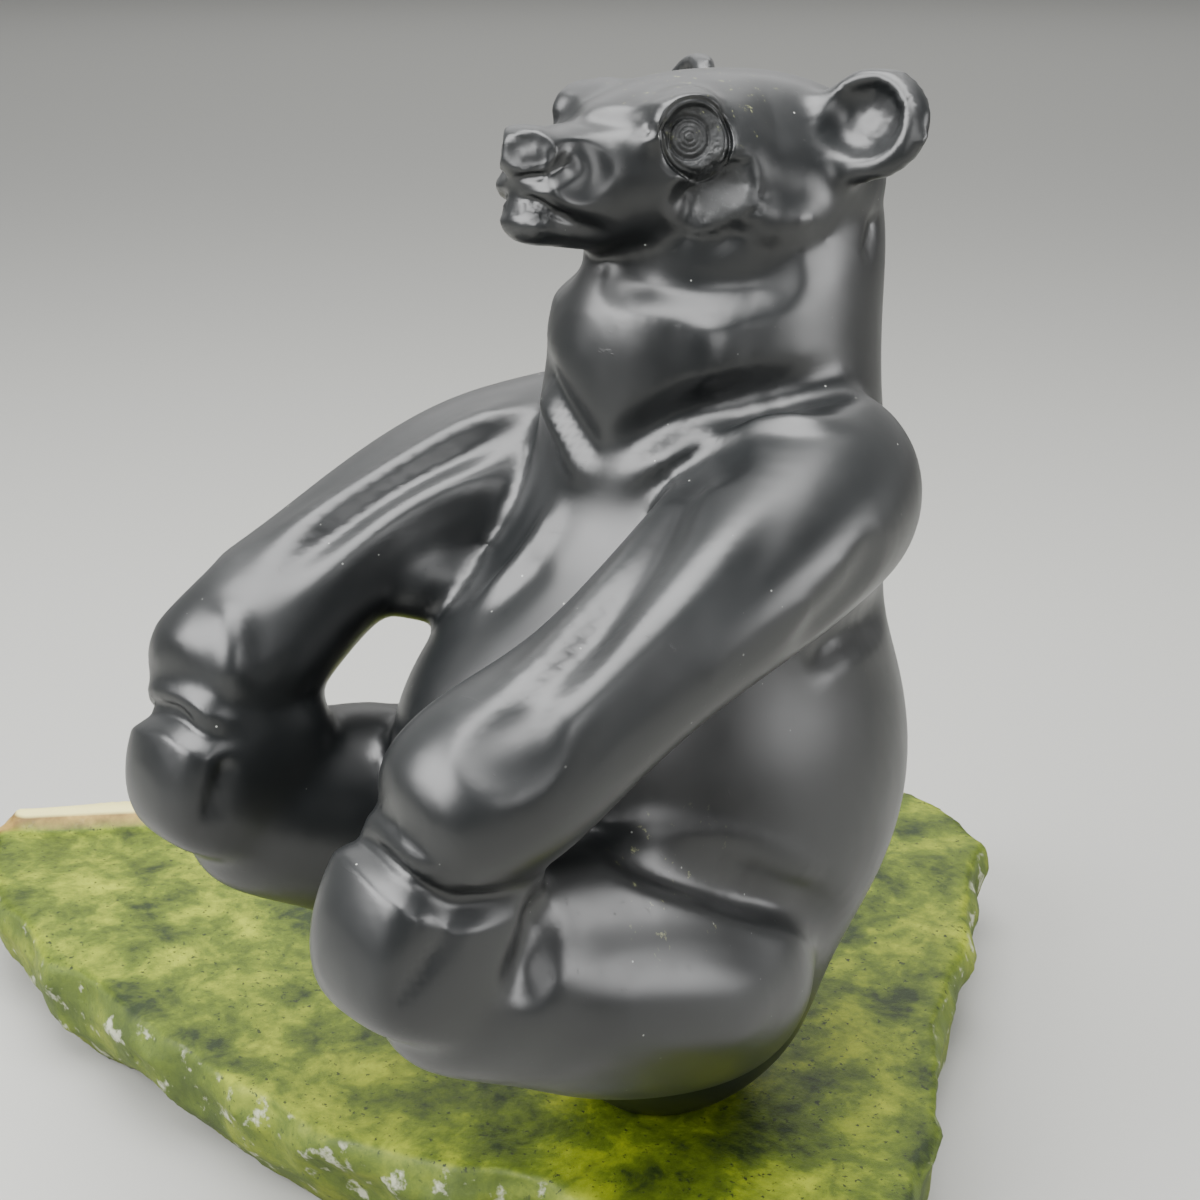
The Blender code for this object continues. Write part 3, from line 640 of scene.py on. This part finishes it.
def cut_rings(points, centre, axis, rings):
    """Cuts round grooves about an axis, as a tube drill leaves them."""
    radial, height = polar(points, centre, axis)
    level = np.abs(height) < EYE_RADIUS
    for radius, half_width, depth in rings:
        fall = soft(1.0 - np.abs(radial - radius * EYE_RADIUS) / (half_width * EYE_RADIUS))
        points -= axis * (fall * level * depth)[:, None]


def roughen(points, inward, centre, reach, pit_size, depth):
    """Leaves the small pits of a pointed tool within reach of a centre."""
    gap = np.linalg.norm(points - centre, axis=1)
    for i in np.flatnonzero(gap < reach):
        pit = noise.fractal(Vector(points[i]) / pit_size, 0.8, 2.1, 3)
        fade = float(soft((1.0 - gap[i] / reach) * 2.5))
        points[i] += inward[i] * (pit * depth * fade)


points = get_points(bear)
inward = -get_normals(bear)
for side in (1, -1):
    axis = np.array((side * EYE_AXIS[0], *EYE_AXIS[1:]))
    axis /= np.linalg.norm(axis)
    centre = np.array(on_slab((side * EYE_CENTRE[0], *EYE_CENTRE[1:])))
    radial, height = polar(points, centre, axis)
    rim = (np.abs(radial - EYE_RADIUS) < 0.15 * EYE_RADIUS) & (np.abs(height) < EYE_RADIUS)
    floor_level = height[rim].mean()
    flat = soft((EYE_RADIUS - radial) / (0.25 * EYE_RADIUS)) * (np.abs(height) < 1.5 * EYE_RADIUS)
    points -= axis * ((height - floor_level) * flat * EYE_FLATNESS)[:, None]
    roughen(points, inward, centre, 1.05 * EYE_RADIUS, EYE_PIT, EYE_PIT_DEPTH)
    cut_rings(points, centre, axis, SOCKET_RINGS)
    iris = centre + np.array((side * IRIS_SHIFT[0], *IRIS_SHIFT[1:])) * BEAR_HEIGHT
    cut_rings(points, iris, axis, IRIS_RINGS)
set_points(bear, points)

# %% Cheeks, ears, nose and mouth
CHEEK_MARKS = 16
CHEEK_SPREAD = 0.020
CHEEK_REACH = 0.045 * BEAR_HEIGHT
EAR_BOWL = (0.126, 0.036, 0.969)
EAR_MARKS = 12
EAR_SPREAD = 0.018
EAR_REACH = 0.040 * BEAR_HEIGHT
MARK_WIDTH = 0.0045
MARK_DEPTH = 0.0016
LIP_CHIP = (0.012, -0.230, 0.898)
LIP_REACH = 0.020 * BEAR_HEIGHT
FACE_CUTS = (
    # dark corner of the eye, towards the nose
    (((0.046, -0.150, 0.962), (0.056, -0.140, 0.966), (0.066, -0.128, 0.972)), 0.009, 0.0040, False),
    # edge of the nose pad over the upper lip, the mouth, and the groove of the lower lip
    (((0.002, -0.245, 0.930), (0.022, -0.236, 0.931), (0.034, -0.222, 0.934)), 0.005, 0.0030, True),
    (((0.002, -0.243, 0.913), (0.022, -0.234, 0.911), (0.034, -0.214, 0.903), (0.040, -0.190, 0.892)),
     0.006, 0.0040, True),
    (((0.002, -0.240, 0.900), (0.018, -0.234, 0.898), (0.028, -0.222, 0.897)), 0.007, 0.0030, False),
    # rim of the ear, standing a little proud of its bowl
    (((0.084, 0.050, 0.985), (0.110, 0.030, 1.010), (0.140, 0.028, 1.012), (0.168, 0.038, 0.985),
      (0.164, 0.052, 0.945)), 0.012, -0.0030, False),
)
marks = random.Random(5)


def chisel_marks(points, inward, centre, spread, count, run):
    """Short rough cuts scattered around a centre, most of them along the same run."""
    for _ in range(count):
        start = [c + marks.uniform(-spread, spread) for c in centre]
        end = [a + r * marks.uniform(0.6, 1.2) + marks.uniform(-0.004, 0.004) for a, r in zip(start, run)]
        depth = marks.uniform(0.5, 1.0) * MARK_DEPTH
        press_stroke(points, inward, [start, end], MARK_WIDTH, depth, sharp=True)


points = get_points(bear)
inward = -get_normals(bear)
for side in (1, -1):
    cheek = (side * CHEEK_CENTRE[0], *CHEEK_CENTRE[1:])
    ear = (side * EAR_BOWL[0], *EAR_BOWL[1:])
    roughen(points, inward, np.array(on_slab(cheek)), CHEEK_REACH, 2.4 * MM, 0.30 * MM)
    chisel_marks(points, inward, cheek, CHEEK_SPREAD, CHEEK_MARKS, (side * 0.012, 0.018, 0.008))
    roughen(points, inward, np.array(on_slab(ear)), EAR_REACH, 2.6 * MM, 0.30 * MM)
    chisel_marks(points, inward, ear, EAR_SPREAD, EAR_MARKS, (side * 0.010, 0.004, 0.018))
    for path, width, depth, sharp in FACE_CUTS:
        press_stroke(points, inward, [(side * x, y, z) for x, y, z in path], width, depth, sharp)
# The lower lip is chipped, and its fresh break was never rubbed.
roughen(points, inward, np.array(on_slab(LIP_CHIP)), LIP_REACH, 0.9 * MM, 0.22 * MM)

# %% [markdown]
# The paws have one clean line each over the toes, and short creases across the soles. They are cut with the
# same stroke as the body, only thinner.

# %% Paws
PAW_CUTS = (
    # thin clean line that ends the hand over the toes, beside the wider groove
    (((0.214, -0.395, 0.444), (0.222, -0.445, 0.448), (0.221, -0.474, 0.455), (0.208, -0.503, 0.481),
      (0.150, -0.503, 0.492), (0.121, -0.484, 0.472)), 0.006, 0.0035, True, "arm"),
    # crease across the sole
    (((0.226, -0.482, 0.430), (0.224, -0.505, 0.405), (0.214, -0.528, 0.375)), 0.006, 0.0025, True, "leg"),
    (((0.108, -0.488, 0.440), (0.106, -0.505, 0.405), (0.114, -0.520, 0.372)), 0.006, 0.0025, True, "leg"),
)
for path, width, depth, sharp, limb in PAW_CUTS:
    press_stroke(points, inward, path, width, depth, sharp)
    press_stroke(points, inward, [mirrored(p, SHIFTS[limb]) for p in path], width, depth, sharp)
set_points(bear, points)
print("bear points:", len(points))

# %% [markdown]
# Last, the rump is ground flat, so that the bear stands by its own weight. A carver rubs it on a level plate;
# here every point below the seat is lifted to it.

# %% Ground seat
points = get_points(bear)
points[:, 2] = np.maximum(points[:, 2], SLAB_THICKNESS + SEAT_GAP)
set_points(bear, points)
only(bear)
bpy.ops.object.shade_smooth()

# %% [markdown]
# ## The slab
#
# The slab was sawn from a boulder and snapped to size. Its outline is a rough wedge. Fusing the block to
# small faces gives enough points for noise to break the sides and to roll the rubbed top gently.

# %% Slab block from its outline
SLAB_OUTLINE = (
    (-0.001, 0.131),
    (-0.053, 0.063),
    (-0.108, -0.012),
    (-0.149, -0.070),
    (-0.166, -0.101),
    (-0.139, -0.115),
    (-0.125, -0.122),
    (-0.085, -0.128),
    (-0.019, -0.122),
    (0.030, -0.117),
    (0.070, -0.101),
    (0.087, -0.086),
    (0.113, -0.078),
    (0.157, -0.069),
    (0.165, -0.058),
    (0.139, -0.023),
    (0.102, 0.027),
    (0.066, 0.082),
    (0.038, 0.120),
    (0.017, 0.128),
)
SLAB_LAYERS = ((0.0, 0.90), (0.35, 0.965), (0.75, 1.0), (1.0, 0.985))
SLAB_VOXEL = 1.7 * MM

layer_rings = []
for height, share in SLAB_LAYERS:
    bpy.ops.object.select_all(action="DESELECT")
    bpy.ops.mesh.primitive_circle_add(vertices=len(SLAB_OUTLINE), radius=1.0, location=(0, 0, 0))
    layer = bpy.context.object
    set_points(layer, np.array([(x * share, y * share, height * SLAB_THICKNESS) for x, y in SLAB_OUTLINE]))
    layer_rings.append(layer)
slab = join_all(layer_rings, "serpentine_slab")
bpy.ops.object.mode_set(mode="EDIT")
bpy.ops.mesh.select_all(action="SELECT")
bpy.ops.mesh.bridge_edge_loops()
bpy.ops.mesh.select_all(action="SELECT")
bpy.ops.mesh.fill_holes(sides=0)
bpy.ops.mesh.normals_make_consistent(inside=False)
bpy.ops.object.mode_set(mode="OBJECT")
apply_modifier(slab, "small faces", "REMESH", mode="VOXEL", voxel_size=SLAB_VOXEL)
apply_modifier(slab, "rubbed edges", "SMOOTH", iterations=3, factor=0.5)

# %% [markdown]
# Snapped stone breaks in large flakes with a finer roughness over them, so the sides get both. The top was
# rubbed and only rolls a little, and it is level where the bear sits. A lip of the boulder's rind is left
# along the rear left edge.

# %% Break the sides and roll the top
FLAKE_SIZE = 0.034
FLAKE_DEPTH = 0.010
ROUGH_SIZE = 0.020
ROUGH_DEPTH = 0.0022
ROLL_SIZE = 0.060
ROLL_DEPTH = 0.0016
ROLL_LIMIT = 0.0030
FLAT_BELOW = 0.0006
SEAT_HALF = (0.024, 0.019)
RIND_LINE = ((-0.074, 0.032), (-0.160, -0.094))
RIND_HEIGHT = 4.5 * MM
RIND_WIDTH = 9.0 * MM
LEVEL_START = 2.2
LEVEL_END = 4.0

points = get_points(slab)
normals = get_normals(slab)
for i, (point, normal) in enumerate(zip(points.copy(), normals)):
    here = Vector(point)
    side_share = 1.0 - abs(normal[2])
    split = noise.voronoi(here / FLAKE_SIZE)[0][0]
    rough = noise.fractal(here / ROUGH_SIZE, 1.0, 2.2, 4)
    points[i] += normal * (FLAKE_DEPTH * (split - 0.35) + ROUGH_DEPTH * rough) * side_share
    if normal[2] > 0.3:
        points[i][2] += ROLL_DEPTH * noise.fractal(here / ROLL_SIZE, 1.0, 2.0, 3)
points[:, 2] = np.maximum(points[:, 2], 0.0)
away = (points[:, :2] - np.array(BEAR_SEAT)) / SEAT_HALF
level = np.clip((LEVEL_END - np.hypot(away[:, 0], away[:, 1])) / (LEVEL_END - LEVEL_START), 0.0, 1.0)
top = points[:, 2] > 0.6 * SLAB_THICKNESS
points[top, 2] += (level * (SLAB_THICKNESS - points[:, 2]))[top]
points[:, 2] = np.minimum(points[:, 2], SLAB_THICKNESS + ROLL_LIMIT * (1.0 - level))
points[:, :2] -= (points[:, :2].min(axis=0) + points[:, :2].max(axis=0)) / 2.0
points[:, 2] *= np.where(points[:, 2] < FLAT_BELOW, 0.0, 1.0)
# lip of rind along the rear left edge
start, end = (np.array(place) for place in RIND_LINE)
along = np.clip((points[:, :2] - start) @ (end - start) / ((end - start) @ (end - start)), 0.0, 1.0)
gap = np.linalg.norm(points[:, :2] - start - along[:, None] * (end - start), axis=1)
points[top, 2] += (RIND_HEIGHT * soft(1.5 - 1.5 * gap / RIND_WIDTH))[top]
set_points(slab, points)
only(slab)
bpy.ops.object.shade_smooth()
print("slab faces:", len(slab.data.polygons))

# %% [markdown]
# ## Materials
#
# Colours are written as the sRGB hex values that a picture shows, and one function turns them to the linear
# values that a shader wants. Another adds a node with its settings and links.


# %% Colour and node helpers
def linear(hex_colour):
    """The linear colour of an sRGB hex value."""
    channels = [int(hex_colour[i:i + 2], 16) / 255.0 for i in (1, 3, 5)]
    return (*[c / 12.92 if c <= 0.04045 else ((c + 0.055) / 1.055) ** 2.4 for c in channels], 1.0)


def add_node(tree, kind, inputs=None, **settings):
    """Adds a node; an input's value is a number, a colour, or another node's socket to link."""
    node = tree.nodes.new(kind)
    for key, value in settings.items():
        setattr(node, key, value)
    for key, value in (inputs or {}).items():
        if isinstance(value, bpy.types.NodeSocket):
            tree.links.new(value, node.inputs[key])
        else:
            node.inputs[key].default_value = value
    return node


def new_material(name):
    """A material with its node tree and its Principled surface."""
    material = bpy.data.materials.new(name)
    material.use_nodes = True
    return material, material.node_tree, material.node_tree.nodes["Principled BSDF"]


def blend(tree, share, under, over):
    """Mixes two colours, each a socket or a constant, by a share that is a socket or a number."""
    mix = tree.nodes.new("ShaderNodeMix")
    mix.data_type = "RGBA"
    for index, value in ((0, share), (6, under), (7, over)):
        if isinstance(value, bpy.types.NodeSocket):
            tree.links.new(value, mix.inputs[index])
        else:
            mix.inputs[index].default_value = value
    return mix.outputs[2]


def window(tree, value, start, end):
    """A share that rises from 0 to 1 as the value goes from start to end, and falls if end is the smaller."""
    return add_node(tree, "ShaderNodeMapRange", {
        "Value": value, "From Min": min(start, end), "From Max": max(start, end),
        "To Min": 0.0 if start < end else 1.0, "To Max": 1.0 if start < end else 0.0,
    }).outputs["Result"]


def near_place(tree, place, centre, reach):
    """A share that is 1 close to a centre and 0 beyond reach of it."""
    gap = add_node(tree, "ShaderNodeVectorMath", {0: place, 1: tuple(centre)}, operation="DISTANCE")
    return window(tree, gap.outputs["Value"], reach, 0.6 * reach)


def between(tree, share, low, high):
    """A value that goes from low to high as the share goes from 0 to 1."""
    spread = add_node(tree, "ShaderNodeMapRange", {"Value": share, "To Min": low, "To Max": high})
    return spread.outputs["Result"]


def times(tree, first, second):
    """One value multiplied by another."""
    return add_node(tree, "ShaderNodeMath", {0: first, 1: second}, operation="MULTIPLY").outputs["Value"]


def grain(tree, place, scale, detail=4.0, roughness=0.5):
    """Noise with so many waves to the metre."""
    inputs = {"Vector": place, "Scale": scale, "Detail": detail, "Roughness": roughness}
    return add_node(tree, "ShaderNodeTexNoise", inputs).outputs["Fac"]


# %% [markdown]
# The black stone is nearly black under its wax, so its look comes from the polish: a soft one, with faint
# clouds where the rubbing was lighter, hairline scratches, a little pale dust, and a few greenish flecks on
# the forehead and in the fold of the thigh. The bottoms of the eyes and cheeks were never polished.

# %% Waxed black stone
black_stone, tree, surface = new_material("waxed black stone")
place = add_node(tree, "ShaderNodeTexCoord").outputs["Object"]
# clouds of lighter and darker stone a few centimetres across
colour = blend(tree, window(tree, grain(tree, place, 38.0), 0.35, 0.7), linear("#0b0d0e"), linear("#131516"))
# grains of pale dust, less than half a millimetre across
dust = add_node(tree, "ShaderNodeTexVoronoi", {"Vector": place, "Scale": 210.0}).outputs["Distance"]
sparse = window(tree, grain(tree, place, 55.0), 0.50, 0.62)
colour = blend(tree, times(tree, window(tree, dust, 0.055, 0.035), sparse), colour, linear("#8f918c"))
# greenish flecks in two places
FLECKED = (((0.030, -0.070, 1.000), 0.090), ((0.215, -0.230, 0.385), 0.080))
for fleck_place, fleck_reach in FLECKED:
    spot = near_place(tree, place, on_slab(fleck_place), fleck_reach * BEAR_HEIGHT)
    fleck = times(tree, window(tree, grain(tree, place, 420.0, 3.0, 0.7), 0.64, 0.74), times(tree, spot, 0.6))
    colour = blend(tree, fleck, colour, linear("#8e9263"))
# unpolished bottoms of the eyes and cheeks
polish = window(tree, grain(tree, place, 70.0), 0.3, 0.7)
rough = between(tree, polish, 0.32, 0.39)
UNPOLISHED_REACH = 0.030 * BEAR_HEIGHT
for side in (1, -1):
    for centre in (EYE_CENTRE, CHEEK_CENTRE):
        spot = near_place(tree, place, on_slab((side * centre[0], *centre[1:])), UNPOLISHED_REACH)
        crushed = window(tree, grain(tree, place, 900.0, 3.0, 0.6), 0.55, 0.85)
        pale = times(tree, crushed, times(tree, spot, 0.4))
        colour = blend(tree, pale, colour, linear("#4a4e4c"))
        rough = add_node(tree, "ShaderNodeMath", {0: rough, 1: times(tree, spot, 0.26)}, operation="ADD")
        rough = rough.outputs["Value"]
tree.links.new(colour, surface.inputs["Base Color"])
tree.links.new(rough, surface.inputs["Roughness"])
surface.inputs["IOR"].default_value = 1.55
# hairline scratches: a grain drawn out twenty-two times along one line
long_grain = add_node(tree, "ShaderNodeMapping", {
    "Vector": place, "Rotation": (0.5, 0.9, 0.3), "Scale": (1.0, 22.0, 22.0)}).outputs["Vector"]
scratches = window(tree, grain(tree, long_grain, 32.0, 5.0, 0.6), 0.66, 0.70)
bump = add_node(tree, "ShaderNodeBump", {"Height": scratches, "Strength": 0.25, "Distance": 0.05 * MM})
tree.links.new(bump.outputs["Normal"], surface.inputs["Normal"])
bear.data.materials.clear()
bear.data.materials.append(black_stone)
print("black stone nodes:", len(tree.nodes))

# %% [markdown]
# Green serpentine is a mix: clouds of yellow-green and deep green, faint dark threads between them, and fine
# black specks. Where the slab was snapped, the break is duller and rougher, with grey-white chips. The
# weathered rind along the rear left edge is ochre brown, and cream on top.

# %% Rubbed green serpentine
CLOUD_BEND = (0.016, 0.016, 0.016)
TOWARD_RIND = (-0.826, 0.564, 0.0)
RIND_STARTS = 0.0705
RIND_FULL = 0.0735
CREAM_STARTS = SLAB_THICKNESS + 2.6 * MM
CREAM_FULL = SLAB_THICKNESS + 3.4 * MM

green_stone, tree, surface = new_material("rubbed green serpentine")
place = add_node(tree, "ShaderNodeTexCoord").outputs["Object"]
warped = add_node(tree, "ShaderNodeTexNoise", {"Vector": place, "Scale": 30.0, "Detail": 3.0})
warped = warped.outputs["Color"]
bent = add_node(tree, "ShaderNodeVectorMath", {0: warped, 1: CLOUD_BEND}, operation="MULTIPLY")
bent = add_node(tree, "ShaderNodeVectorMath", {0: place, 1: bent.outputs["Vector"]}, operation="ADD")
bent = bent.outputs["Vector"]
clouds = add_node(tree, "ShaderNodeValToRGB", {"Fac": grain(tree, bent, 48.0, 8.0, 0.68)})
ramp = clouds.color_ramp
ramp.elements[0].position, ramp.elements[0].color = 0.36, linear("#162205")
ramp.elements[1].position, ramp.elements[1].color = 0.66, linear("#7a8416")
middle = ramp.elements.new(0.50)
middle.color = linear("#44520c")
colour = clouds.outputs["Color"]
# dark threads along the borders of large cells
threads = add_node(tree, "ShaderNodeTexVoronoi", {"Vector": bent, "Scale": 42.0}, feature="DISTANCE_TO_EDGE")
broken = window(tree, grain(tree, place, 60.0), 0.45, 0.6)
thread = times(tree, window(tree, threads.outputs["Distance"], 0.05, 0.0), broken)
colour = blend(tree, times(tree, thread, 0.3), colour, linear("#1a260c"))
# black specks about half a millimetre across
specks = window(tree, grain(tree, place, 620.0, 3.0, 0.6), 0.62, 0.68)
colour = blend(tree, specks, colour, linear("#18210d"))
# snapped sides
normal = add_node(tree, "ShaderNodeNewGeometry").outputs["Normal"]
upward = add_node(tree, "ShaderNodeSeparateXYZ", {"Vector": normal}).outputs["Z"]
side_share = window(tree, upward, 0.85, 0.45)
colour = blend(tree, times(tree, side_share, 0.45), colour, linear("#4c5a2a"))
chips = times(tree, window(tree, grain(tree, place, 150.0, 5.0, 0.6), 0.58, 0.66), side_share)
colour = blend(tree, times(tree, chips, 0.8), colour, linear("#9ea08c"))
# rind: brown on its slope and cream on top
height = add_node(tree, "ShaderNodeSeparateXYZ", {"Vector": place}).outputs["Z"]
rear_left = add_node(tree, "ShaderNodeVectorMath", {0: place, 1: TOWARD_RIND}, operation="DOT_PRODUCT")
beyond = window(tree, rear_left.outputs["Value"], RIND_STARTS, RIND_FULL)
brown = blend(tree, window(tree, grain(tree, place, 130.0), 0.4, 0.6), linear("#5f4a22"), linear("#8a7238"))
colour = blend(tree, beyond, colour, brown)
cream = times(tree, beyond, window(tree, height, CREAM_STARTS, CREAM_FULL))
colour = blend(tree, cream, colour, linear("#bdb578"))
tree.links.new(colour, surface.inputs["Base Color"])
tree.links.new(between(tree, side_share, 0.50, 0.70), surface.inputs["Roughness"])
surface.inputs["IOR"].default_value = 1.56
surface.inputs["Specular IOR Level"].default_value = 0.20
pitted = grain(tree, place, 260.0, 8.0, 0.7)
pits = add_node(tree, "ShaderNodeBump", {"Height": pitted, "Strength": 0.5, "Distance": 0.7 * MM})
tree.links.new(pits.outputs["Normal"], surface.inputs["Normal"])
slab.data.materials.clear()
slab.data.materials.append(green_stone)
print("green stone nodes:", len(tree.nodes))

# %% [markdown]
# Each finished stone takes the place of its plain solid, wears its material and moves with the one body.

# %% Tie the pieces to the part
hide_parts("bear")
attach(bear, "root")
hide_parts("green_stone_slab")
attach(slab, "root")

# %% [markdown]
# ## Floor and light
#
# Polished black stone shows mostly what it reflects, so the light is chosen for its reflections. One soft
# light hangs overhead and a broad window stands in front, for the arms and the chest. A small light at the
# right and one low at the rear right draw the snout, the cheek and the thigh. The far light brightens the
# floor behind the bear.

# %% Floor
FLOOR_WIDTH = 40.0

bpy.ops.object.select_all(action="DESELECT")
bpy.ops.mesh.primitive_plane_add(size=FLOOR_WIDTH, location=(0, 0, 0))
floor = bpy.context.object
floor.name = "floor"
floor_paint, tree, surface = new_material("pale floor")
surface.inputs["Base Color"].default_value = linear("#8f8f8b")
surface.inputs["Roughness"].default_value = 0.6
floor.data.materials.append(floor_paint)

# %% Lights
SOFTBOXES = (
    # name, place, target, width and height in metres, power in watts
    ("overhead light", (0.15, -0.15, 1.15), (0.07, -0.08, 0.15), (1.0, 1.0), 44.0),
    ("front window", (-0.05, -1.00, 0.80), (0.07, -0.06, 0.15), (1.2, 0.7), 42.0),
    ("right light", (1.10, -0.15, 0.60), (0.07, -0.06, 0.15), (0.4, 0.5), 4.0),
    ("side light", (0.84, 0.66, 0.34), (0.09, -0.06, 0.10), (0.5, 0.34), 6.5),
    ("far light", (-2.6, 2.2, 2.6), (-2.2, 1.9, 0.0), (4.0, 4.0), 75.0),
)


def add_softbox(name, place, target, size, power):
    """A rectangle of soft light that faces its target."""
    light_data = bpy.data.lights.new(name, "AREA")
    light_data.shape = "RECTANGLE"
    light_data.size, light_data.size_y = size
    light_data.energy = power
    light = bpy.data.objects.new(name, light_data)
    light.location = place
    light.rotation_euler = (Vector(target) - Vector(place)).to_track_quat("-Z", "Y").to_euler()
    bpy.context.scene.collection.objects.link(light)


for softbox in SOFTBOXES:
    add_softbox(*softbox)
print("softboxes:", len(SOFTBOXES))

# %% [markdown]
# The room itself is pale on the left and behind the bear, and dim behind the camera, so the stone keeps dark
# sides between its highlights.

# %% Pale room
BRIGHT_SIDE = (-0.72, 0.52, 0.46)

world = bpy.data.worlds.new("pale room")
bpy.context.scene.world = world
world.use_nodes = True
room = world.node_tree
toward = add_node(room, "ShaderNodeTexCoord").outputs["Generated"]
lean = add_node(room, "ShaderNodeVectorMath", {0: toward, 1: BRIGHT_SIDE}, operation="DOT_PRODUCT")
tone = add_node(room, "ShaderNodeValToRGB", {"Fac": lean.outputs["Value"]})
tone.color_ramp.elements[0].position = 0.0
tone.color_ramp.elements[0].color = linear("#33363a")
tone.color_ramp.elements[1].position = 0.9
tone.color_ramp.elements[1].color = linear("#f4f4f2")
background = room.nodes["Background"]
room.links.new(tone.outputs["Color"], background.inputs["Color"])
background.inputs["Strength"].default_value = 0.9
